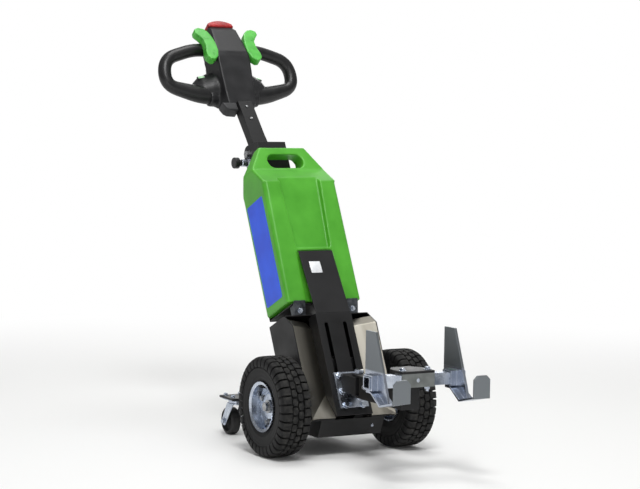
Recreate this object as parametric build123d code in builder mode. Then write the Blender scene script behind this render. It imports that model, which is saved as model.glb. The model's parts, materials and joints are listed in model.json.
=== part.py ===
# Pedestrian-operated battery tow tractor for airport trolleys.
# Millimetres, +Z up, floor at z = 0. The hitch faces -Y and the operator walks behind at +Y.
from build123d import *
from math import sin, cos, radians, hypot
import os

os.makedirs("parts", exist_ok=True)

# overall layout
axle_y = -138.8
axle_z = 130.0
lean_deg = 25.5
running_gap = 0.05
through = 160.0

# wheels
tyre_dia = 260.0
tyre_width = 86.0
lug_height = 7.0
lug_count = 36
lug_wide = 22.0
lug_long = 13.0
crown_wide = 18.0
rim_dia = 128.0
wheel_x = 188.0
shaft_dia = 25.0
shaft_inner = 70.0
hub_face = 16.0
nut_reach = 9.0

# transaxle
gear_dia = 84.0
gear_half = 46.0
axle_tube_dia = 48.0
axle_tube_half = 136.0
stand_wide = 90.0
stand_long = 60.0

# lower body
plate_x = 125.0
sheet = 3.0
body_front = 70.0
body_back = -52.0
cover_low = -60.0
cover_knee = 192.0
slope_rise = 35.0
slope_depth = 31.0
flap_rise = 24.0
flap_depth = 20.0
cover_set_back = 35.0
facet_rise = 70.0
channel_half = 54.0
channel_wall = 6.0
channel_front = 73.0
channel_high = 222.0
channel_low = -58.0
slot_x = 28.0
slot_wide = 11.0
slot_high = 196.0
slot_low = -20.0

# chassis
base_bottom = 50.0
base_top = 104.0
floor_thick = 5.0
member_x = 92.5
member_thick = 5.0
nose_top = 98.0
shelf_top = 102.0
shelf_front = -82.0
shelf_back = 42.0
kick_front = 205.0
kick_back = 232.0
rear_low = 84.0
base_rear = 345.0
beam_thick = 6.0
foot_plate_half = 90.0
foot_plate_front = 65.0
foot_plate_back = 175.0

# battery box, in the leaning frame
box_half = 112.0
box_low = 266.0
box_rib_top = 609.0
box_shoulder = 664.0
handle_rise = 71.0
handle_half = 70.0
box_front = 47.5
box_back = -88.0
edge_bevel = 9.0
grip_wide = 110.0
grip_high = 44.0
grip_below_top = 44.0
recess_floor = 34.0
recess_low = 418.0
recess_high = 640.0
recess_low_half = 52.0
recess_high_half = 63.0
notch_floor = 40.0
front_plate_high = 406.0
front_plate_n = 49.0
tray_half = 100.0
tray_s = 258.0
tray_thick = 4.0
tray_back_high = 420.0
latch_x = 80.0
latch_half = 17.0

# column, hinge bracket and tiller
column_half = 38.0
column_front = -94.0
column_back = -140.0
column_top = 690.0
column_foot = 22.0
hinge_y = 440.0
hinge_z = 766.0
ear_thick = 6.0
ear_round = 25.0
ear_low = 640.0
web_front = -60.0
web_back = -66.0
web_top = 774.0
pin_dia = 14.0
pin_nut = 11.0
plunger_knob_dia = 31.0
plunger_neck_dia = 18.0
plunger_back = 5.0
plunger_drop = 24.0
tiller_deg = 41.0
tube_wide = 46.0
tube_deep = 30.0
cross_tube_dia = 30.0
head_low = 186.0
head_high = 450.0
grip_bar_t = 243.7
grip_bar_m = -37.7
sleeve_dia = 46.0
sleeve_half = 76.0
loop_tube_dia = 38.0
loop_centre_y = 652.0
loop_centre_z = 990.0
loop_deg = 20.0
paddle_back = 35.0
paddle_deep = 21.0

# hitch
pivot_y = -106.0
pivot_pin_dia = 16.0
pivot_half = 26.0
pivot_front = -130.0
fork_low = 160.0
fork_high = 218.0
fork_thick = 5.0
fork_gap = 1.0
bar_y = -370.0
bar_z = 237.0
bar_half = 139.0
bar_size = 30.0
bar_wall = 3.0
sleeve_wall = 2.0
bar_sleeve_half = 47.0
hook_inset = 25.0
hook_half = 21.0
clamp_wall = 4.0
strap = 6.0
strap_z = 190.0
strap_end_z = 205.0
hook_front = -487.0
lip_wide = 47.0
lip_top = 256.0
lip_bevel = 10.0
guide_thick = 7.0
guide_top = 359.0
guide_rear = -329.0
guide_crest = -374.0
guide_toe_y = -429.0
guide_toe_z = 216.0
guide_toe_lean = 7.0

# castors
castor_x = 138.0
castor_y = 310.0
castor_wheel_dia = 75.0
castor_wheel_half = 14.0
castor_trail = 32.0
castor_plate_z = 104.0
castor_axle_dia = 8.0
castor_stem_dia = 12.0
fork_leg_x = 20.0
fork_leg_thick = 3.0

# values that follow from the ones above
ls = sin(radians(lean_deg))
lc = cos(radians(lean_deg))
ts = sin(radians(tiller_deg))
tc = cos(radians(tiller_deg))
us = sin(radians(loop_deg))
uc = cos(radians(loop_deg))
cover_top = cover_knee + slope_rise
deck_top = cover_top + sheet
box_high = box_shoulder + handle_rise
hook_x = bar_half - hook_inset
hinge_s = hinge_y * ls + (hinge_z - axle_z) * lc
hinge_n = -hinge_y * lc + (hinge_z - axle_z) * ls

# working planes: the leaning mast, the upright side view, the floor plan and the tiller
mast_front = Plane(origin=(0, axle_y, axle_z), x_dir=(1, 0, 0), z_dir=(0, -lc, ls))
mast_side = Plane(origin=(0, axle_y, axle_z), x_dir=(0, ls, lc), z_dir=(1, 0, 0))
mast_down = Plane(origin=(0, axle_y, axle_z), x_dir=(1, 0, 0), z_dir=(0, -ls, -lc))
flat_side = Plane(origin=(0, axle_y, 0), x_dir=(0, 1, 0), z_dir=(1, 0, 0))
flat_front = Plane(origin=(0, axle_y, 0), x_dir=(1, 0, 0), z_dir=(0, -1, 0))
floor_plan = Plane(origin=(0, axle_y, 0), x_dir=(1, 0, 0), z_dir=(0, 0, 1))
tiller_front = Plane(origin=(0, axle_y + hinge_y, hinge_z), x_dir=(1, 0, 0), z_dir=(0, -tc, ts))
tiller_side = Plane(origin=(0, axle_y + hinge_y, hinge_z), x_dir=(0, ts, tc), z_dir=(1, 0, 0))
loop_front = Plane(origin=(0, axle_y + loop_centre_y, loop_centre_z), x_dir=(1, 0, 0), z_dir=(0, -uc, us))


def mast_point(s, n):
    return (s * ls - n * lc, axle_z + s * lc + n * ls)


def save(piece, node):
    piece.part.label = node
    export_step(piece.part, "parts/" + node + ".step")


# drive wheels: pneumatic tyre with shoulder blocks, dished rim, stub shaft
body_r = tyre_dia / 2 - lug_height
rim_r = rim_dia / 2
half_w = tyre_width / 2
for side_name, sx in [("left", -1), ("right", 1)]:
    hub_plane = Plane(origin=(sx * wheel_x, axle_y, axle_z), x_dir=(0, 1, 0), z_dir=(sx, 0, 0))
    wheel_section = Plane(origin=(sx * wheel_x, axle_y, axle_z), x_dir=(sx, 0, 0), z_dir=(0, -1, 0))

    with BuildPart() as tyre:
        with BuildSketch(wheel_section):
            with BuildLine():
                Polyline(
                    (-half_w + 12, rim_r - 3),
                    (-half_w, rim_r + 22),
                    (-half_w + 3, body_r - 6),
                    (-half_w + 12, body_r),
                    (half_w - 12, body_r),
                    (half_w - 3, body_r - 6),
                    (half_w, rim_r + 22),
                    (half_w - 12, rim_r - 3),
                    close=True,
                )
            make_face()
        revolve(axis=Axis((sx * wheel_x, axle_y, axle_z), (1, 0, 0)))
        for lug_x, turn in [(half_w - 14, 0), (14 - half_w, 180 / lug_count)]:
            with BuildSketch(hub_plane.offset(lug_x - lug_wide / 2)):
                with PolarLocations(body_r + lug_height / 2 - 1, lug_count, start_angle=turn):
                    Rectangle(lug_height + 2, lug_long)
            extrude(amount=lug_wide)
        with BuildSketch(hub_plane.offset(-crown_wide / 2)):
            Circle(tyre_dia / 2)
            Circle(body_r - 1, mode=Mode.SUBTRACT)
        extrude(amount=crown_wide)
    save(tyre, "tyre_" + side_name)

    with BuildPart() as rim:
        with BuildSketch(wheel_section):
            with BuildLine():
                Polyline(
                    (-half_w + 9, rim_r - 7),
                    (-half_w + 9, rim_r - 3),
                    (-half_w + 12, rim_r - 3.2),
                    (half_w - 12, rim_r - 3.2),
                    (half_w - 9, rim_r - 3),
                    (half_w - 6, rim_r + 1),
                    (half_w - 3, rim_r + 1),
                    (half_w - 6, rim_r - 7),
                    (12, rim_r - 9),
                    (9, 38),
                    (hub_face, 32),
                    (hub_face, shaft_dia / 2),
                    (-hub_face - 2, shaft_dia / 2),
                    (-hub_face - 2, 24),
                    (-2, 30),
                    (4, rim_r - 8),
                    close=True,
                )
            make_face()
        revolve(axis=Axis((sx * wheel_x, axle_y, axle_z), (1, 0, 0)))
    save(rim, "rim_" + side_name)

    with BuildPart() as shaft:
        with BuildSketch(hub_plane.offset(shaft_inner - wheel_x)):
            Circle(shaft_dia / 2)
        extrude(amount=wheel_x - shaft_inner + hub_face + 1)
        with BuildSketch(hub_plane.offset(hub_face + 1)):
            Circle(shaft_dia / 2 + 4.5)
        extrude(amount=4)
        with BuildSketch(hub_plane.offset(hub_face + 5)):
            RegularPolygon(shaft_dia / 2 - 0.5, 6)
        extrude(amount=nut_reach)
    save(shaft, "wheel_shaft_" + side_name)

# transaxle with its motor, one closed block with axle tubes
axle_end = Plane(origin=(0, axle_y, axle_z), x_dir=(0, 1, 0), z_dir=(1, 0, 0))
with BuildPart() as transaxle:
    with BuildSketch(axle_end):
        Circle(gear_dia / 2)
    extrude(amount=gear_half, both=True)
    with BuildSketch(axle_end):
        Circle(axle_tube_dia / 2)
    extrude(amount=axle_tube_half, both=True)
    with BuildSketch(floor_plan.offset(base_bottom + floor_thick)):
        with Locations((0, 20)):
            Rectangle(stand_wide, stand_long)
    extrude(amount=190)
    for sx in [-1, 1]:
        with BuildSketch(axle_end.offset(sx * (axle_tube_half + shaft_inner - 2) / 2)):
            Circle(shaft_dia / 2 + running_gap)
        extrude(amount=(axle_tube_half - shaft_inner + 2) / 2, both=True, mode=Mode.SUBTRACT)
save(transaxle, "transaxle")

# chassis: two side members, a floor, a shelf with a nose plate and the rear castor beam
with BuildPart() as chassis:
    with BuildSketch(floor_plan.offset(base_bottom)):
        with Locations((0, (kick_front - 63) / 2)):
            Rectangle(2 * member_x + member_thick, kick_front + 61)
    extrude(amount=floor_thick)
    for mx in [-member_x, member_x]:
        with BuildSketch(flat_side.offset(mx)):
            with BuildLine():
                Polyline((-62, base_bottom), (kick_front, base_bottom), (kick_back, rear_low), (base_rear, rear_low),
                         (base_rear, base_top), (-55, base_top), (shelf_front, nose_top), close=True)
            make_face()
        extrude(amount=member_thick / 2, both=True)
    with BuildSketch(flat_side):
        with BuildLine():
            Polyline((-62, base_bottom), (-58, base_bottom), (shelf_front + 4, nose_top), (shelf_front, nose_top),
                     close=True)
        make_face()
    extrude(amount=member_x, both=True)
    with BuildSketch(floor_plan.offset(nose_top)):
        with Locations((0, (shelf_front + shelf_back) / 2)):
            Rectangle(2 * (plate_x + sheet), shelf_back - shelf_front)
        with Locations((0, 2)):
            Rectangle(2 * channel_half + 0.4, 180, mode=Mode.SUBTRACT)
    extrude(amount=shelf_top - nose_top)
    with BuildSketch(floor_plan.offset(castor_plate_z)):
        with Locations((0, castor_y - 5)):
            Rectangle(2 * castor_x + 70, 80)
    extrude(amount=beam_thick)
save(chassis, "chassis")

# side plates and folded front covers of the lower body
facet_a = mast_front.from_local_coords((channel_half, cover_low + facet_rise, body_front - cover_set_back))
facet_b = mast_front.from_local_coords((channel_half, cover_low, body_front - 4))
facet_c = mast_front.from_local_coords((plate_x, cover_low, body_front))
cover_wide = plate_x - channel_half
for side_name, sx in [("left", -1), ("right", 1)]:
    with BuildPart() as side_plate:
        with BuildSketch(flat_side.offset(sx * (plate_x + sheet / 2))):
            with BuildLine():
                Polyline(
                    (shelf_front - 2, shelf_top),
                    mast_point(cover_knee, body_front),
                    mast_point(deck_top, body_front - slope_depth - 3),
                    mast_point(deck_top, body_back),
                    mast_point(30, body_back),
                    (40, shelf_top),
                    close=True,
                )
            make_face()
        extrude(amount=sheet / 2, both=True)
        with BuildSketch(axle_end.offset(sx * plate_x)):
            Circle(axle_tube_dia / 2)
        extrude(amount=10, both=True, mode=Mode.SUBTRACT)
    save(side_plate, "side_plate_" + side_name)

    with BuildPart() as cover:
        fold = body_front - cover_set_back
        with BuildSketch(mast_side.offset(sx * channel_half)):
            with BuildLine():
                Polyline(
                    (cover_low - 20, fold),
                    (cover_knee, fold),
                    (cover_knee + flap_rise, fold - flap_depth),
                    (cover_knee + flap_rise, fold - flap_depth - sheet - 1),
                    (cover_knee - 2, fold - sheet),
                    (cover_low - 20, fold - sheet),
                    close=True,
                )
            make_face()
        extrude(
            amount=hypot(cover_wide, cover_set_back),
            dir=(sx * cover_wide, -lc * cover_set_back, ls * cover_set_back),
        )
        corners = [Vector(sx * p.X, p.Y, p.Z) for p in [facet_a, facet_b, facet_c]]
        edge = corners[2] - corners[0]
        facet_plane = Plane(origin=corners[0], x_dir=edge, z_dir=(corners[1] - corners[0]).cross(edge) * sx)
        with BuildSketch(facet_plane):
            with BuildLine():
                Polyline(*[tuple(facet_plane.to_local_coords(p))[:2] for p in corners], close=True)
            make_face()
        extrude(amount=-sheet)
        with BuildSketch(floor_plan):
            Rectangle(4 * plate_x, 4 * plate_x)
        extrude(amount=shelf_top, mode=Mode.SUBTRACT)
    save(cover, "front_cover_" + side_name)

with BuildPart() as rear_panel:
    with BuildSketch(mast_side):
        with BuildLine():
            Polyline((30, body_back), (deck_top, body_back), (deck_top, 40), (cover_top, 40),
                     (cover_top, body_back + sheet), (30, body_back + sheet), close=True)
        make_face()
    extrude(amount=plate_x, both=True)
save(rear_panel, "rear_panel")

# front channel with two adjusting slots
with BuildPart() as front_channel:
    with BuildSketch(mast_down.offset(-channel_high)):
        with BuildLine():
            Polyline((-channel_half, 30), (-channel_half, channel_front), (channel_half, channel_front),
                     (channel_half, 30), (channel_half - channel_wall, 30),
                     (channel_half - channel_wall, channel_front - channel_wall),
                     (channel_wall - channel_half, channel_front - channel_wall),
                     (channel_wall - channel_half, 30), close=True)
        make_face()
    extrude(amount=channel_high - channel_low)
    with BuildSketch(mast_front.offset(channel_front - 2 * channel_wall)):
        with Locations((-slot_x, (slot_high + slot_low) / 2), (slot_x, (slot_high + slot_low) / 2)):
            SlotOverall(slot_high - slot_low, slot_wide, rotation=90)
    extrude(amount=3 * channel_wall, mode=Mode.SUBTRACT)
save(front_channel, "front_channel")

with BuildPart() as front_plate:
    with BuildSketch(mast_side):
        with BuildLine():
            Polyline((channel_high, channel_front - sheet), (channel_high, channel_front),
                     (front_plate_high, front_plate_n), (front_plate_high, front_plate_n - sheet), close=True)
        make_face()
    extrude(amount=channel_half - 2.5, both=True)
save(front_plate, "front_plate")

# battery box with a trapezoid grip, bevelled ribs and a recess between them
with BuildPart() as battery_box:
    with BuildSketch(mast_side):
        with BuildLine():
            Polyline(
                (box_low, box_back),
                (box_low, box_front - 4),
                (box_rib_top, box_front),
                (box_shoulder, 0),
                (box_high, -12),
                (box_high, -44),
                (box_shoulder, -61),
                (box_rib_top - 8, box_back),
                close=True,
            )
        make_face()
    extrude(amount=box_half, both=True)
    for mx in [-1, 1]:
        with BuildSketch(mast_front.offset(box_back - 12)):
            with BuildLine():
                Polyline((mx * handle_half, box_high + 5), (mx * handle_half, box_high), (mx * box_half, box_shoulder),
                         (mx * (box_half + 8), box_shoulder), (mx * (box_half + 8), box_high + 5), close=True)
            make_face()
        extrude(amount=through, mode=Mode.SUBTRACT)
        for bevel_n, bevel_way in [(box_front, -1), (box_back, 1)]:
            with BuildSketch(mast_down.offset(-box_rib_top)):
                with BuildLine():
                    Polyline((mx * (box_half - edge_bevel), bevel_n - bevel_way), (mx * (box_half - edge_bevel), bevel_n),
                             (mx * box_half, bevel_n + bevel_way * edge_bevel), (mx * (box_half + 2), bevel_n),
                             (mx * (box_half + 2), bevel_n - bevel_way), close=True)
                make_face()
            extrude(amount=box_rib_top - box_low + 5, mode=Mode.SUBTRACT)
    with BuildSketch(mast_front.offset(box_back - 12)):
        with Locations((0, box_high - grip_below_top)):
            SlotOverall(grip_wide, grip_high)
    extrude(amount=through, mode=Mode.SUBTRACT)
    with BuildSketch(mast_front.offset(recess_floor)):
        with BuildLine():
            Polyline((-recess_low_half, recess_low), (recess_low_half, recess_low), (recess_high_half, recess_high),
                     (-recess_high_half, recess_high), close=True)
        make_face()
    extrude(amount=through, mode=Mode.SUBTRACT)
    with BuildSketch(mast_front.offset(notch_floor)):
        with Locations((0, (box_low + front_plate_high) / 2 - 4)):
            Rectangle(2 * channel_half, front_plate_high - box_low + 16)
    extrude(amount=through, mode=Mode.SUBTRACT)
save(battery_box, "battery_box")

# tray and two latch feet that carry the battery box
with BuildPart() as battery_tray:
    with BuildSketch(mast_side):
        with BuildLine():
            Polyline((tray_s, column_front + 1), (tray_s, notch_floor), (tray_s + tray_thick, notch_floor),
                     (tray_s + tray_thick, column_front + 1 + tray_thick),
                     (tray_back_high, column_front + 1 + tray_thick), (tray_back_high, column_front + 1), close=True)
        make_face()
    extrude(amount=tray_half, both=True)
save(battery_tray, "battery_tray")

for side_name, sx in [("left", -1), ("right", 1)]:
    with BuildPart() as latch:
        with BuildSketch(mast_side.offset(sx * latch_x)):
            with BuildLine():
                Polyline((deck_top, 22), (deck_top, notch_floor - 2), (tray_s - 6, notch_floor + 7),
                         (tray_s + 9, notch_floor + 12), (tray_s + 9, notch_floor + 6),
                         (tray_s + tray_thick, notch_floor + 3), (tray_s + tray_thick, notch_floor),
                         (tray_s, notch_floor), (tray_s, 22), close=True)
            make_face()
        extrude(amount=latch_half, both=True)
    save(latch, "box_latch_" + side_name)

# column behind the battery box on its foot plate, with the hinge bracket on top
with BuildPart() as column:
    with BuildSketch(mast_side):
        with BuildLine():
            Polyline((column_foot, column_front), (column_top, column_front), (column_top, column_back),
                     (2 * column_foot, column_back), close=True)
        make_face()
    extrude(amount=column_half, both=True)
    with BuildSketch(floor_plan.offset(base_top)):
        with Locations((0, (foot_plate_front + foot_plate_back) / 2)):
            Rectangle(2 * foot_plate_half, foot_plate_back - foot_plate_front)
    extrude(amount=beam_thick)
save(column, "column")

with BuildPart() as hinge_ears:
    with BuildSketch(mast_side):
        with BuildLine():
            Polyline((ear_low, column_front), (column_top, web_back), (column_top, web_front), (web_top, web_front),
                     (hinge_s + ear_round, hinge_n), (hinge_s, hinge_n - ear_round), (ear_low, column_back),
                     close=True)
        make_face()
        with Locations((hinge_s, hinge_n)):
            Circle(ear_round)
    extrude(amount=column_half + ear_thick, both=True)
    with BuildSketch(mast_side):
        with Locations(((column_top + web_top) / 2, web_back - through / 2)):
            Rectangle(through * 2, through)
    extrude(amount=column_half, both=True, mode=Mode.SUBTRACT)
    with BuildSketch(flat_side):
        with Locations((hinge_y, hinge_z)):
            Circle(pin_dia / 2 + running_gap)
    extrude(amount=through, both=True, mode=Mode.SUBTRACT)
save(hinge_ears, "hinge_ears")

ear_face = column_half + ear_thick
with BuildPart() as hinge_pin:
    with BuildSketch(flat_side):
        with Locations((hinge_y, hinge_z)):
            Circle(pin_dia / 2)
    extrude(amount=ear_face, both=True)
    for mx in [-ear_face - 8, ear_face]:
        with BuildSketch(flat_side.offset(mx)):
            with Locations((hinge_y, hinge_z)):
                RegularPolygon(pin_nut, 6)
        extrude(amount=8)
save(hinge_pin, "hinge_pin")

with BuildPart() as plunger:
    for px, length, dia in [(-92, 15, plunger_knob_dia), (-77, 77 - ear_face, plunger_neck_dia)]:
        with BuildSketch(flat_side.offset(px)):
            with Locations((hinge_y - plunger_back, hinge_z - plunger_drop)):
                Circle(dia / 2)
        extrude(amount=length)
save(plunger, "index_plunger")

# tiller tube with its hinge bush
with BuildPart() as tiller_tube:
    with BuildSketch(tiller_front.offset(-tube_deep / 2)):
        with Locations((0, head_low / 2)):
            Rectangle(tube_wide, head_low)
    extrude(amount=tube_deep)
    with BuildSketch(flat_side):
        with Locations((hinge_y, hinge_z)):
            Circle(cross_tube_dia / 2)
    extrude(amount=column_half - 0.5, both=True)
    with BuildSketch(flat_side):
        with Locations((hinge_y, hinge_z)):
            Circle(pin_dia / 2 + running_gap)
    extrude(amount=through, both=True, mode=Mode.SUBTRACT)
save(tiller_tube, "tiller_tube")

# moulded head: a tapering face, two wings for the switches and a sleeve round the grip bar
with BuildPart() as tiller_head:
    with BuildSketch(tiller_front.offset(-36)):
        with BuildLine():
            Polyline((0, head_low - 20), (57, head_low - 20), (63, 250), (68, 282), (57, 345), (50, head_high + 20),
                     (0, head_high + 20))
            mirror(about=Plane.YZ)
        make_face()
    extrude(amount=96, taper=8)
    with BuildSketch(tiller_front.offset(-58)):
        with BuildLine():
            Polyline((0, 226), (118, 230), (126, 274), (104, 309), (80, 314), (66, 298), (0, 298))
            mirror(about=Plane.YZ)
        make_face()
    extrude(amount=56, taper=10)
    with BuildSketch(tiller_side):
        with BuildLine():
            Polyline((head_low, -34), (head_low, 1), (341, 50), (432, 46), (head_high, 36), (head_high, -20),
                     (320, -36), (290, -58), (222, -58))
            Line((222, -58), (head_low, -34))
        make_face()
    extrude(amount=through, both=True, mode=Mode.INTERSECT)
    with BuildSketch(tiller_side):
        with Locations((grip_bar_t, grip_bar_m)):
            Circle(sleeve_dia / 2)
    extrude(amount=sleeve_half, both=True)
save(tiller_head, "tiller_head")

# grip loop: a round tube in a closed oval, cut where the head takes it
with BuildPart() as loop_handle:
    with BuildLine(loop_front):
        FilletPolyline((0, -69), (105, -62), (207, -36), (200, 44), (105, 75), (0, 80), radius=48)
    with BuildSketch(Plane(origin=loop_front.from_local_coords((0, -69, 0)), x_dir=(0, 1, 0), z_dir=(1, 0, 0))):
        Circle(loop_tube_dia / 2)
    sweep()
    mirror(about=Plane.YZ)
    add(tiller_head.part, mode=Mode.SUBTRACT)
save(loop_handle, "loop_handle")

with BuildPart() as belly_switch:
    with BuildSketch(tiller_front.offset(-22)):
        with BuildLine():
            Polyline((-40, head_high + 12), (-42, head_high), (42, head_high), (40, head_high + 12))
            ThreePointArc((40, head_high + 12), (0, head_high + 24), (-40, head_high + 12))
        make_face()
    extrude(amount=62)
save(belly_switch, "belly_switch")

# drive paddles, curved out from both sides of the head and crowned along their length
with BuildPart() as paddle_right:
    with BuildSketch(tiller_front.offset(paddle_back)):
        with BuildLine():
            ThreePointArc((76, 312), (86, 318), (87, 335))
            ThreePointArc((87, 335), (80, 370), (91, 401))
            ThreePointArc((91, 401), (99, 415), (88, 426))
            Polyline((88, 426), (60, 421), (38, 412), (38, 350), (56, 340), (76, 312))
        make_face()
    extrude(amount=paddle_deep + 5)
    with BuildSketch(tiller_side):
        with BuildLine():
            ThreePointArc((302, paddle_back + 6), (368, paddle_back + paddle_deep), (436, paddle_back + 8))
            Polyline((436, paddle_back + 8), (436, paddle_back - 5), (302, paddle_back - 5), (302, paddle_back + 6))
        make_face()
    extrude(amount=through, both=True, mode=Mode.INTERSECT)
    add(tiller_head.part, mode=Mode.SUBTRACT)
save(paddle_right, "drive_paddle_right")

with BuildPart() as paddle_left:
    mirror(paddle_right.part, about=Plane.YZ)
save(paddle_left, "drive_paddle_left")

with BuildPart() as key_box:
    with BuildSketch(tiller_front.offset(-26)):
        with BuildLine():
            Polyline((-tube_wide / 2, head_low), (-tube_wide / 2 - 46, head_low), (-tube_wide / 2 - 38, head_low - 20),
                     (-tube_wide / 2 - 28, head_low - 27), (-tube_wide / 2, head_low - 29), close=True)
        make_face()
    extrude(amount=34)
save(key_box, "key_box")

# hitch: plate on the slots, pivot block and pin
with BuildPart() as hitch_plate:
    with BuildSketch(mast_front.offset(channel_front)):
        with Locations((0, 8)):
            Rectangle(84, 96)
    extrude(amount=8)
save(hitch_plate, "hitch_plate")

plate_face = channel_front + 8
block_low = fork_low + fork_thick + fork_gap
block_high = fork_high - fork_thick - fork_gap
block_back_low = (-plate_face + (block_low - axle_z) * ls) / lc
block_back_high = (-plate_face + (block_high - axle_z) * ls) / lc
with BuildPart() as pivot_block:
    with BuildSketch(flat_side):
        with BuildLine():
            Polyline((block_back_low, block_low), (pivot_front, block_low), (pivot_front, block_high),
                     (block_back_high, block_high), close=True)
        make_face()
    extrude(amount=pivot_half, both=True)
    with BuildSketch(floor_plan):
        with Locations((0, pivot_y)):
            Circle(pivot_pin_dia / 2 + running_gap)
    extrude(amount=2 * through, mode=Mode.SUBTRACT)
save(pivot_block, "pivot_block")

with BuildPart() as pivot_pin:
    with BuildSketch(floor_plan.offset(fork_low - 8)):
        with Locations((0, pivot_y)):
            Circle(pivot_pin_dia / 2)
    extrude(amount=fork_high - fork_low + 9)
    with BuildSketch(floor_plan.offset(fork_high + 1)):
        with Locations((0, pivot_y)):
            RegularPolygon(pivot_pin_dia * 0.8, 6)
    extrude(amount=9)
save(pivot_pin, "pivot_pin")

# drawbar: forked plates, box beam and the riser that carries the crossbar's sleeve
sleeve_out = bar_size + 2 * sleeve_wall
sleeve_back = bar_y + sleeve_out / 2
sleeve_top = bar_z + sleeve_out / 2
beam_half = pivot_half
with BuildPart() as drawbar:
    for mz in [fork_low, fork_high - fork_thick]:
        with BuildSketch(floor_plan.offset(mz)):
            with BuildLine():
                Polyline((-18, pivot_y), (18, pivot_y), (beam_half, -150), (beam_half, sleeve_back),
                         (-beam_half, sleeve_back), (-beam_half, -150), close=True)
            make_face()
            with Locations((0, pivot_y)):
                Circle(18)
                Circle(pivot_pin_dia / 2 + running_gap, mode=Mode.SUBTRACT)
        extrude(amount=fork_thick)
    for mx in [-beam_half + 2.5, beam_half - 2.5]:
        with BuildSketch(flat_side.offset(mx)):
            with BuildLine():
                Polyline((-150, fork_low), (sleeve_back, fork_low), (sleeve_back, sleeve_top), (-300, sleeve_top),
                         (-275, fork_high), (-150, fork_high), close=True)
            make_face()
        extrude(amount=2.5, both=True)
    with BuildSketch(floor_plan.offset(fork_low)):
        with Locations((0, sleeve_back + 2.5)):
            Rectangle(2 * beam_half, 5)
    extrude(amount=sleeve_top - fork_low)
    with BuildSketch(floor_plan.offset(sleeve_top)):
        with BuildLine():
            Polyline((-bar_sleeve_half, bar_y - sleeve_out / 2), (bar_sleeve_half, bar_y - sleeve_out / 2),
                     (bar_sleeve_half, -330), (beam_half, -300), (-beam_half, -300), (-bar_sleeve_half, -330),
                     close=True)
        make_face()
    extrude(amount=6)
save(drawbar, "drawbar")

bar_end = Plane(origin=(0, axle_y + bar_y, bar_z), x_dir=(0, 1, 0), z_dir=(1, 0, 0))
with BuildPart() as crossbar:
    with BuildSketch(bar_end):
        Rectangle(bar_size, bar_size)
        Rectangle(bar_size - 2 * bar_wall, bar_size - 2 * bar_wall, mode=Mode.SUBTRACT)
    extrude(amount=bar_half, both=True)
save(crossbar, "crossbar")

with BuildPart() as bar_sleeve:
    with BuildSketch(bar_end):
        Rectangle(sleeve_out, sleeve_out)
        Rectangle(bar_size, bar_size, mode=Mode.SUBTRACT)
    extrude(amount=bar_sleeve_half, both=True)
    with BuildSketch(flat_front.offset(-bar_y)):
        with Locations((0, bar_z)):
            Circle(5)
    extrude(amount=sleeve_out, mode=Mode.SUBTRACT)
save(bar_sleeve, "bar_sleeve")

# hooks: clamp on the bar, cranked strap, upright lip and a tall guide plate
clamp_out = bar_size + 2 * clamp_wall
clamp_low = bar_z - clamp_out / 2
clamp_top = bar_z + clamp_out / 2
for side_name, sx in [("left", -1), ("right", 1)]:
    lip_x = sx * hook_x - hook_half
    with BuildPart() as hook:
        with BuildSketch(bar_end.offset(sx * hook_x)):
            Rectangle(clamp_out, clamp_out)
        extrude(amount=hook_half, both=True)
        with BuildSketch(flat_side.offset(sx * hook_x)):
            with BuildLine():
                Polyline(
                    (bar_y + 8, clamp_low + 1),
                    (bar_y + 8, clamp_low - strap),
                    (bar_y - 13, clamp_low - strap),
                    (guide_toe_y + 6, strap_z - strap),
                    (hook_front, strap_end_z - strap),
                    (hook_front, strap_end_z),
                    (guide_toe_y + 3, strap_z),
                    (bar_y - 11, clamp_low),
                    (bar_y - 11, clamp_low + 1),
                    close=True,
                )
            make_face()
        extrude(amount=hook_half, both=True)
        with BuildSketch(flat_front.offset(-hook_front - strap / 2)):
            with BuildLine():
                Polyline(
                    (lip_x, strap_end_z - strap),
                    (lip_x, lip_top - lip_bevel),
                    (lip_x + lip_bevel, lip_top),
                    (lip_x + lip_wide - lip_bevel, lip_top),
                    (lip_x + lip_wide, lip_top - lip_bevel),
                    (lip_x + lip_wide, strap_end_z - strap),
                    close=True,
                )
            make_face()
        extrude(amount=strap)
        with BuildSketch(flat_side.offset(sx * hook_x)):
            with BuildLine():
                Polyline((guide_rear, bar_z), (guide_rear, guide_top), (guide_crest, guide_top),
                         (guide_toe_y, guide_toe_z), (guide_toe_y - guide_toe_lean, strap_z - 1),
                         (guide_toe_y + 5, strap_z - strap / 2), (bar_y - 10, clamp_low - 3),
                         (bar_y, bar_z), close=True)
            make_face()
        extrude(amount=guide_thick / 2, both=True)
        with BuildSketch(bar_end):
            Rectangle(bar_size, bar_size)
        extrude(amount=2 * through, both=True, mode=Mode.SUBTRACT)
    save(hook, "hook_" + side_name)

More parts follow.
